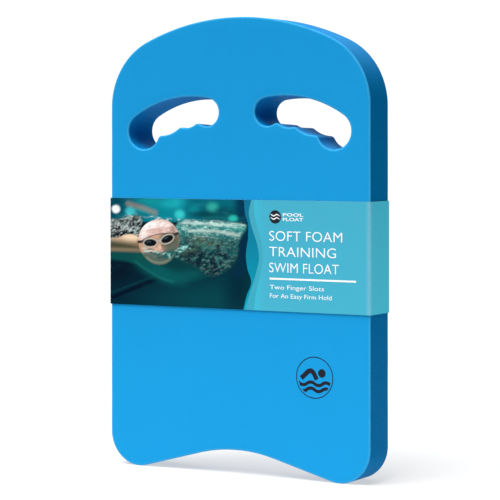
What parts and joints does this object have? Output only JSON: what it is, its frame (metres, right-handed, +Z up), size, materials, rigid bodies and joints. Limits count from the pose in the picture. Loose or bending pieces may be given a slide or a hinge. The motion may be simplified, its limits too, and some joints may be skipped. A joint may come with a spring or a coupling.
{
  "type": "kickboard float",
  "caption": "Foam swimming float with an arched crown, two scalloped hand slots and a notched tail, in a printed card sleeve.",
  "frame": {"origin": "bottom centre of the board's box, on the surface that its two lobes stand on", "axes": "+X to the right across the printed front, -Y out of the printed front, +Z up from the notched tail to the arched crown"},
  "size_m": [0.2838, 0.0404, 0.4319],
  "materials": {
    "blue_foam": "matte",
    "black_ink": "matte",
    "printed_card": "satin",
    "clear_glue": "satin"
  },
  "bodies": {
    "board": {"foam_board": "blue_foam", "printed_mark": "black_ink"},
    "sleeve": {"card_sleeve": "printed_card", "sleeve_glue": "clear_glue"}
  },
  "joints": [
    {"name": "sleeve_slide", "type": "slide", "parent": "board", "child": "sleeve", "axis": [0, 0, 1], "range_m": [-0.155, 0.287]}
  ]
}
